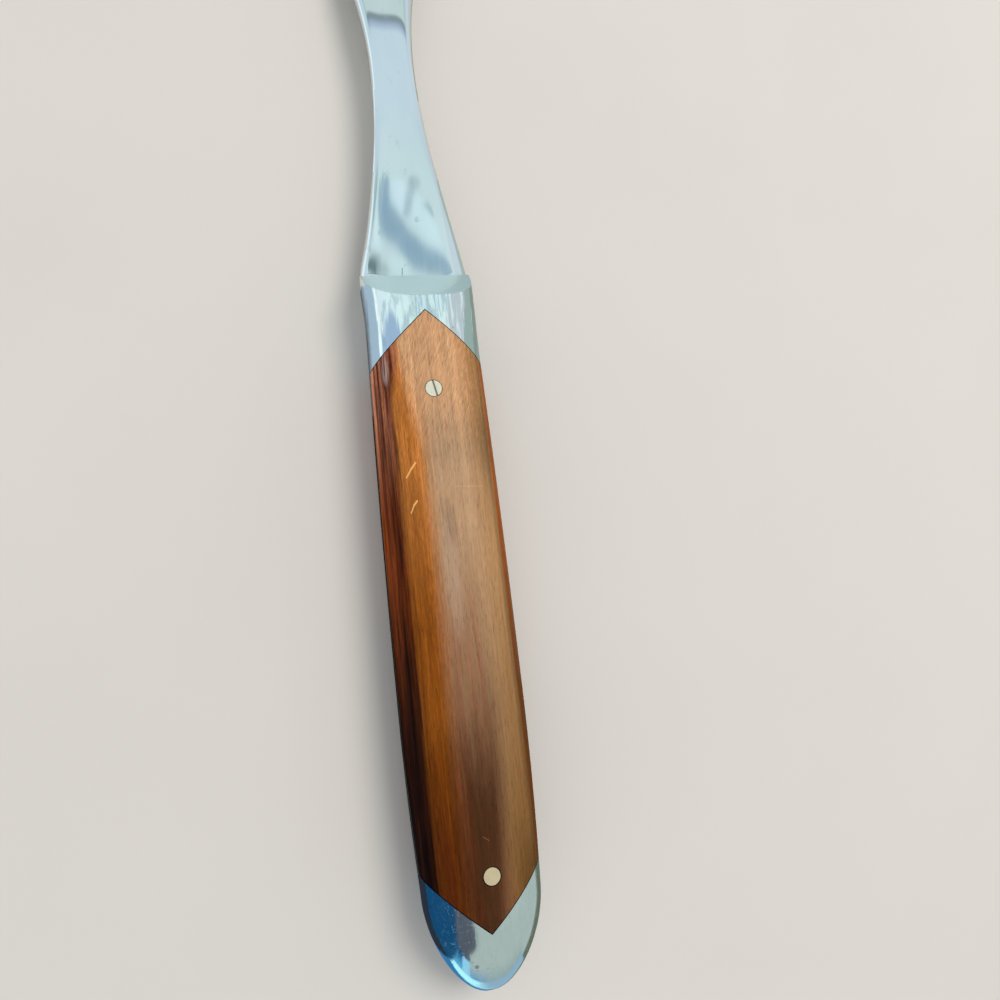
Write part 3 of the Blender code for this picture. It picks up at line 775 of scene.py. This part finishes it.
scale_seat = TANG_FACE + GLUE_LINE
front_tip = FRONT_APEX - JOINT_LINE * math.hypot(1, FRONT_V_SLOPE)
rear_tip = REAR_APEX + JOINT_LINE * math.hypot(1, REAR_V_SLOPE)
front_point = notch_gap(front_tip, -FRONT_V_SLOPE, share, scale_seat)
rear_point = notch_gap(rear_tip, REAR_V_SLOPE, share, scale_seat)
front_end = where_zero(front_point, HANDLE_LENGTH / 2, HANDLE_LENGTH, share)
rear_end = where_zero(rear_point, 0, HANDLE_LENGTH / 2, share)
crown_lid = crown_grid(rear_end, front_end, share, scale_seat, np.linspace(0, 1, CROWN_ROWS))
landed_lid = np.minimum(crown_lid, (np.inf, np.inf, TANG_Z))
oiled_wood = rosewood()
for level, side, lid in (("top", 1, crown_lid), ("bottom", -1, landed_lid)):
    slab = add_mesh(f"wood_slab_{level}", padded_down(lid, scale_seat, side))
    drill(slab, pin_holes.values())
    finish_piece(slab, oiled_wood, "scale_wood", f"scale_{level}")

# Scale pins: nickel silver rods of about 3 mm through both scales and the tang, ground flush with the wood.
# The front one carries a slanting file groove, and a thin gap round each, between pin and wood, shows dark.
PIN_RADIUS = {"front_scale_pin": 0.00150, "rear_scale_pin": 0.00143}
GROOVE_DEPTH = 0.00010
GROOVE_WIDTH = 0.00014
GROOVE_OFF = -0.00025
GROOVE_AHEAD = 0.983
GROOVE_LEFT = 0.186
GROOVE_DIRT = (0.16, 0.15, 0.12)
GROOVE_DIRT_MM = 0.24
YELLOWED = ((0.52, 0.42, 0.26), (0.86, 0.71, 0.47))
SILVERED = ((0.62, 0.59, 0.47), (0.90, 0.85, 0.70))
PIN_SIDES = 120
PIN_RINGS = 30
PIN_RELIEF = 0.00001


def pin_metal():
    """Nickel silver, dulled: warm and pale, with fine file marks and dirt in the groove."""
    finish, shader, spot = new_finish("dull_nickel_silver")
    station, off = (1000 * part for part in pin_holes["front_scale_pin"][:2])
    off = off + 1000 * GROOVE_OFF
    arm = (2 * GROOVE_AHEAD, 2 * GROOVE_LEFT)
    ends = (station - arm[0], off - arm[1]), (station + arm[0], off + arm[1])
    dirt = mark(axis(spot, "X"), axis(spot, "Y"), *ends, GROOVE_DIRT_MM)
    marks = stretched(spot, (2.0, 7.0, 0.5)).noise(4)
    cloud = stretched(spot, (0.9, 0.9, 0.5)).noise(2)
    worn = 0.5 * marks + 0.5 * cloud
    colour = axis(spot, "X").rise(30, 90).mix(worn.mix(*YELLOWED), worn.mix(*SILVERED))
    feed(shader, "Base Color", (0.85 * dirt).mix(colour, GROOVE_DIRT))
    feed(shader, "Roughness", 0.32 + 0.2 * marks + 0.2 * dirt)
    feed(shader, "Normal", bump(marks, PIN_RELIEF))
    shader.inputs["Metallic"].default_value = 0.5
    return finish


nickel = pin_metal()
for name, (station, off, *_) in pin_holes.items():
    turn = np.linspace(0, 2 * np.pi, PIN_SIDES + 1)
    reach = PIN_RADIUS[name] * np.sin(np.linspace(0, np.pi / 2, PIN_RINGS))[:, None]
    ahead = reach * np.cos(turn)
    left = reach * np.sin(turn)
    share_across = np.abs((off + left) / half_width(station + ahead))
    crown = half_thickness(station + ahead) * (1 - share_across**FORM_POWER) ** (1 / FORM_POWER)
    bottom = loft(station + ahead, off + left, -np.minimum(crown, TANG_Z))
    if name.startswith("front"):
        from_groove = ((left - GROOVE_OFF) * GROOVE_AHEAD - ahead * GROOVE_LEFT) / GROOVE_WIDTH
        crown = crown - GROOVE_DEPTH * np.exp(-(from_groove**2))
    top = loft(station + ahead, off + left, crown)
    pin = add_mesh(name.replace("scale", "flush"), [np.concatenate([top, bottom[::-1]])])
    finish_piece(pin, nickel, "pin_metal", name)

# Stage: a pale floor whose rim sweeps up to a low wall, a plain white surround, a soft key lamp and the
# camera. Cards, floor strips, a small dome beside the butt and a painted sky are seen by gloss alone. They
# put blue and dark shapes on the left of the steel and pale light elsewhere.
FLOOR_REACH = 3.2
FLOOR_SIDES = 128
FLOOR_RINGS = 90
RIM_START = 0.75
RIM_HEIGHT = 1.25
RIM_GLOW_MM = (-5, 160)
STRIP_LEVEL = 0.0004
TOP_FADE_MM = (-2, 32)
PALE_FLOOR = ((0.66, 0.65, 0.63), (0.70, 0.69, 0.67))
RIM_GLOW = (0.30, 0.32, 0.32)
PLAIN_WHITE = (0.60, 0.60, 0.60)
REAR_SKY = (0.57, 0.67, 0.63)
FRONT_SKY = (0.78, 0.97, 1.0)
RIGHT_SKY = (0.82, 0.88, 0.90)
BEHIND = ((0.42, 0.54, 0.55), (0.18, 0.42, 0.74))
BESIDE = (0.52, 0.63, 0.58)
LILAC_SHADE = (0.12, 0.14, 0.18)
BLUE_SHADE = (0.009, 0.092, 0.23)
SLATE_SHADE = (0.40, 0.52, 0.65)
GREY_SHADE = (0.15, 0.155, 0.17)
NAVY_SHADE = (0.03, 0.04, 0.06)
BLACK_SHADE = (0.014, 0.012, 0.012)
MOSS_SHADE = (0.17, 0.205, 0.155)
SAGE_SHADE = (0.38, 0.43, 0.37)
DEEP_BLUE = (0.05, 0.25, 0.53)
HAZE_BLUE = (0.16, 0.58, 1.0)
GLEAM_BLUE = (0.42, 0.88, 1.20)
SOFT_BLUE = (0.34, 0.52, 0.66)
WINDOW = (0.66, 1.36, 1.50)
DIM_WINDOW = (0.37, 0.59, 0.78)
SIDE_WHITE = (1.0, 1.2, 1.3)


def stage_mesh(name, grid):
    """A sheet that isn't part of the object, from a grid in the frame's own metres."""
    sheet = add_mesh(name, [grid - (BUTT_X, 0, TANG_Z)])
    return sheet


turn = np.linspace(0, 2 * np.pi, FLOOR_SIDES + 1)
sweep = np.linspace(0, 1, FLOOR_RINGS)[:, None]
reach = FLOOR_REACH * sweep**2
rim = RIM_HEIGHT * np.clip((sweep - RIM_START) / (1 - RIM_START), 0, 1) ** 2
floor = stage_mesh("pale_floor", loft(reach * np.cos(turn), reach * np.sin(turn), rim))
floor_finish, floor_shader, floor_spot = new_finish("pale_floor_paint")
mottle = stretched(floor_spot, (0.02, 0.02, 0.02)).noise(3)
feed(floor_shader, "Base Color", mottle.mix(*PALE_FLOOR))
floor_shader.inputs["Roughness"].default_value = 0.8
floor_shader.inputs["Specular IOR Level"].default_value = 0.2
# The rim glows more the higher it rises: painted light that lifts the shade where the floor turns up.
feed(floor_shader, "Emission Color", axis(floor_spot, "Z").rise(*RIM_GLOW_MM).mix((0, 0, 0), RIM_GLOW))
floor_shader.inputs["Emission Strength"].default_value = 1
floor.data.materials.append(floor_finish)


def glossy_sheet(name, grid, paint):
    """A sheet that only glossy rays can see, and that glows in the colour that paint gives each spot."""
    sheet = stage_mesh(name, grid)
    finish, shader, spot = new_finish(name)
    shader.inputs["Base Color"].default_value = (0, 0, 0, 1)
    shader.inputs["Specular IOR Level"].default_value = 0
    feed(shader, "Emission Color", paint(spot))
    shader.inputs["Emission Strength"].default_value = 1
    sheet.data.materials.append(finish)
    for ray in ("camera", "diffuse", "shadow", "transmission"):
        setattr(sheet, f"visible_{ray}", False)


def reflection_card(name, grid, colours, letter="X", low=0, high=1, top=None):
    """A glossy sheet that goes from one colour to another along an axis, and upwards to a top colour."""

    def paint(spot):
        """The glow at a spot: two smooth steps between colours, over millimetres."""
        glow = axis(spot, letter).rise(low, high).mix(*colours)
        if top:
            glow = axis(spot, "Z").rise(*TOP_FADE_MM).mix(glow, top)
        return glow

    glossy_sheet(name, grid, paint)


def upright(path, low, high):
    """An upright sheet along a path on the floor, between two heights."""
    x, y = np.array(path).T
    return loft(x, y, np.array([[low], [high]]))


def flat_strip(near, far):
    """A strip that lies on the floor between two paths."""
    x, y = np.array((near, far)).transpose(2, 0, 1)
    return loft(x, y, STRIP_LEVEL)


slate_path = (-0.0105, 0.030), (-0.045, 0.030)
blue_path = (-0.045, 0.030), (-0.1773, 0.030)
grey_near = (-0.0190, 0.0117), (-0.030, 0.0113), (-0.045, 0.0112)
grey_far = (-0.0140, 0.030), (-0.030, 0.030), (-0.045, 0.030)
dark_near = (-0.045, 0.0112), (-0.100, 0.0117), (-0.134, 0.0112), (-0.1425, 0.0086)
dark_far = (-0.045, 0.030), (-0.100, 0.030), (-0.160, 0.030), (-0.1917, 0.043)
deep_left = (-0.1425, 0.0086), (-0.1465, 0.0065), (-0.1485, 0.0045)
deep_near = (*deep_left, (-0.1498, 0.0010), (-0.1500, -0.0020), (-0.1470, -0.0060))
window_left = (-0.1725, 0.0296), (-0.1645, 0.0150), (-0.1645, 0.0092)
window_near = (*window_left, (-0.1655, 0.0022), (-0.1600, -0.0030), (-0.1590, -0.0160))
far_left = (-0.1917, 0.043), (-0.1995, 0.031), (-0.2040, 0.024)
window_far = (*far_left, (-0.2049, 0.0205), (-0.2095, 0.002), (-0.1960, -0.044))
front_right = (0.060, -0.0125), (-0.0185, -0.0125), (-0.0200, -0.0106), (-0.100, -0.0118)
rear_right = (-0.100, -0.0118), (-0.136, -0.0110), (-0.1470, -0.0060)
front_beside = (0.060, -0.088), (-0.0185, -0.088), (-0.0200, -0.088), (-0.100, -0.070)
rear_beside = (-0.100, -0.070), (-0.150, -0.056), (-0.1960, -0.044)
side_path = (*front_beside, *rear_beside[1:])
reflection_card("blue_card", upright(blue_path, 0.0, 0.030), (BLUE_SHADE, BLUE_SHADE))
reflection_card("slate_card", upright(slate_path, 0.0, 0.0168), (SLATE_SHADE, SLATE_SHADE))
reflection_card("grey_strip", flat_strip(grey_near, grey_far), (GREY_SHADE, SLATE_SHADE), "Y", 11.5, 26)
reflection_card("dark_strip", flat_strip(dark_near, dark_far), (NAVY_SHADE, BLACK_SHADE), "X", 20, 40)
reflection_card("deep_strip", flat_strip(deep_near, window_near), (MOSS_SHADE, DEEP_BLUE), "Y", -5, 3)
haze_path = ((-0.1773, 0.030), *window_far[:2])
reflection_card("haze_card", upright(haze_path, 0.008, 0.043), (HAZE_BLUE, BLUE_SHADE), "Z", -2, 36)
reflection_card("gleam_card", upright(window_far[1:4], 0.008, 0.039), (GLEAM_BLUE, GLEAM_BLUE))
reflection_card("rear_card", upright(window_far[3:], 0.008, 0.040), BEHIND, "Y", -14, 14, REAR_SKY)
reflection_card("window_strip", flat_strip(window_near, window_far), (DIM_WINDOW, WINDOW), "Y", -6, 14)
reflection_card("window_card", upright(window_far, 0.0, 0.008), (DIM_WINDOW, WINDOW), "Y", -6, 14)
reflection_card("sage_strip", flat_strip(front_right, front_beside), (SAGE_SHADE, SAGE_SHADE))
reflection_card("moss_strip", flat_strip(rear_right, rear_beside), (SAGE_SHADE, MOSS_SHADE), "Y", -60, -28)
reflection_card("side_card", upright(side_path, 0.0, 0.06), (REAR_SKY, BESIDE), "X", 0, 90)
white_path = (0.02, 0.30), (0.14, 0.24), (0.20, 0.16)
reflection_card("white_card", upright(white_path, 0.012, 0.10), (SIDE_WHITE, SIDE_WHITE))

DOME_REACH_MM = 90
DOME_STATION_MM = 10
DOME_LEAN = np.radians(np.linspace(0, 88, 45))
DOME_SWING = np.radians(np.linspace(2, 112, 60))[:, None]


def clear_sky(forward):
    """Plain sky: a smooth step from the rear colour to the front colour as a ray turns forward."""
    return forward.rise(-0.75, 0.45).mix(REAR_SKY, FRONT_SKY)


def shaded_dome(spot):
    """Clear sky, then lilac and blue to the left, each from a ragged edge that bends near the floor."""
    forward = (axis(spot, "X") - DOME_STATION_MM) / DOME_REACH_MM
    leftward = axis(spot, "Y") / DOME_REACH_MM
    upward = axis(spot, "Z") / DOME_REACH_MM
    ragged = leftward + 0.08 * (stretched(spot, (0.1, 0.1, 0.1)).noise(3) - 0.5)
    ragged = ragged - 0.16 * upward.rise(0.70, 0.48) * leftward.rise(0.45, 0.30)
    shade = ragged.rise(0.44, 0.58).mix(LILAC_SHADE, BLUE_SHADE)
    return (ragged.rise(0.05, 0.11) * forward.rise(0.36, 0.24)).mix(clear_sky(forward), shade)


backward = -np.cos(DOME_LEAN) * np.cos(DOME_SWING)
dome = loft(backward, np.sin(DOME_LEAN), np.cos(DOME_LEAN) * np.sin(DOME_SWING))
dome = dome * DOME_REACH_MM / 1000 + (BUTT_X + DOME_STATION_MM / 1000, 0, TANG_Z)
glossy_sheet("shaded_dome", dome, shaded_dome)

# The sky is painted with soft lines. A line has a start, an end, a width and a colour. Its places are
# a ray's lean ahead, doubled, and its lean to the left, both per unit of rise.
NECK_SKY = (0.70, 0.86, 0.97)
CRANK_BLUE = (0.44, 0.56, 0.76)
CRANK_DARK = (0.29, 0.38, 0.41)
CRANK_PALE = (0.72, 0.88, 0.87)
SWOOSH_WIDTH = 0.022
SWOOSH = (
    (1.106, -0.109), (1.060, -0.108), (1.037, -0.114), (1.008, -0.127), (0.977, -0.151),
    (0.961, -0.164), (0.953, -0.186), (0.948, -0.213), (0.943, -0.250),
)
UNDER_MARKS = (
    ((1.082, -0.140), (1.068, -0.135), 0.040, (0.86, 1.09, 1.16)),
    ((1.060, -0.165), (0.985, -0.195), 0.030, (0.84, 1.09, 1.14)),
    ((0.952, -0.132), (0.950, -0.140), 0.016, (0.88, 1.12, 1.14)),
    ((1.060, 0.000), (0.985, -0.085), 0.022, (0.88, 1.12, 1.16)),
    ((1.160, 0.160), (1.340, 0.380), 0.110, (0.40, 0.58, 0.56)),
    ((1.117, -0.169), (1.036, -0.149), 0.009, (0.52, 0.68, 0.76)),
    ((1.130, -0.010), (1.080, -0.050), 0.026, (0.44, 0.62, 0.73)),
    ((1.118, -0.070), (1.050, -0.085), 0.028, (0.42, 0.60, 0.72)),
    ((1.080, -0.050), (1.015, -0.106), 0.022, (0.40, 0.58, 0.70)),
)
OVER_MARKS = (
    ((0.950, -0.086), (0.942, -0.112), 0.014, (0.40, 0.54, 0.55)),
    ((0.953, -0.078), (1.025, 0.075), 0.032, (0.30, 0.42, 0.43)),
    ((0.956, -0.068), (1.020, 0.065), 0.019, (0.11, 0.18, 0.19)),
    ((1.120, -0.171), (1.102, -0.167), 0.012, (0.50, 0.66, 0.70)),
    ((1.060, -0.187), (1.046, -0.195), 0.011, (0.44, 0.60, 0.64)),
)
world = bpy.data.worlds.new("tent_light")
world.use_nodes = True
bpy.context.scene.world = world
heading = Field(world.node_tree).node("ShaderNodeTexCoord", output="Generated")
forward = axis(heading, "X")
leftward = axis(heading, "Y")
upward = axis(heading, "Z")
ahead = forward / upward
aside = leftward / upward
sky = clear_sky(forward)
sky = (aside.rise(-0.35, -0.50) * forward.rise(0.1, 0.3)).mix(sky, RIGHT_SKY)
swoosh = [(start, end, SWOOSH_WIDTH, SOFT_BLUE) for start, end in zip(SWOOSH, SWOOSH[1:])]
for start, end, width, colour in (*UNDER_MARKS, *swoosh, *OVER_MARKS):
    sky = (0.9 * mark(2 * ahead, aside, start, end, width)).mix(sky, colour)
front = forward.rise(0.2, 0.3) * aside.rise(0.60, 0.30) * aside.rise(-0.70, -0.45)
sky = (0.7 * forward.rise(0.2, 0.3) * ahead.rise(0.58, 0.72)).mix(sky, NECK_SKY)
sky = (0.8 * front * ahead.rise(0.90, 0.97)).mix(sky, CRANK_BLUE)
sky = (front * ahead.rise(0.955, 1.02)).mix(sky, CRANK_DARK)
sky = (front * ahead.rise(1.035, 1.075)).mix(sky, CRANK_PALE)
glossy = heading.node("ShaderNodeLightPath", output="Is Glossy Ray")
plain_light = world.node_tree.nodes["Background"]
plain_light.inputs["Color"].default_value = opaque(PLAIN_WHITE)
painted_sky = sky.node("ShaderNodeBackground", (), {"Color": sky})
either = sky.node("ShaderNodeMixShader", (), {0: glossy, 2: painted_sky})
world.node_tree.links.new(plain_light.outputs[0], either.socket.node.inputs[1])
feed(world.node_tree.nodes["World Output"], "Surface", either)

key = bpy.data.objects.new("key_softbox", bpy.data.lights.new("key_softbox", "AREA"))
key.data.shape = "DISK"
key.data.size = 0.8
key.data.energy = 11
key.data.color = (1.0, 0.93, 0.84)
key.location = (0.30, -0.60, 1.25)
key.rotation_euler = key.location.to_track_quat("Z", "Y").to_euler()
key.visible_glossy = False
bpy.context.scene.collection.objects.link(key)

CAMERA_PLACE = (0.065870 + BUTT_X, 0.021873, 0.138742 + TANG_Z)
CAMERA_RIGHT = (-0.11652, -0.96885, 0.21854)
CAMERA_UP = (0.98431, -0.08331, 0.15551)
CAMERA_BACK = (-0.13246, 0.23323, 0.96336)
FOCAL_PIXELS = 751
IMAGE_PIXELS = 1000
camera = bpy.data.objects.new("camera", bpy.data.cameras.new("camera"))
camera.data.sensor_width = 36
camera.data.lens = camera.data.sensor_width * FOCAL_PIXELS / IMAGE_PIXELS
camera.data.clip_start = 0.01
turned = Matrix((CAMERA_RIGHT, CAMERA_UP, CAMERA_BACK)).transposed()
camera.matrix_world = Matrix.Translation(CAMERA_PLACE) @ turned.to_4x4()
bpy.context.scene.collection.objects.link(camera)
bpy.context.scene.camera = camera
bpy.context.scene.view_settings.view_transform = "Standard"
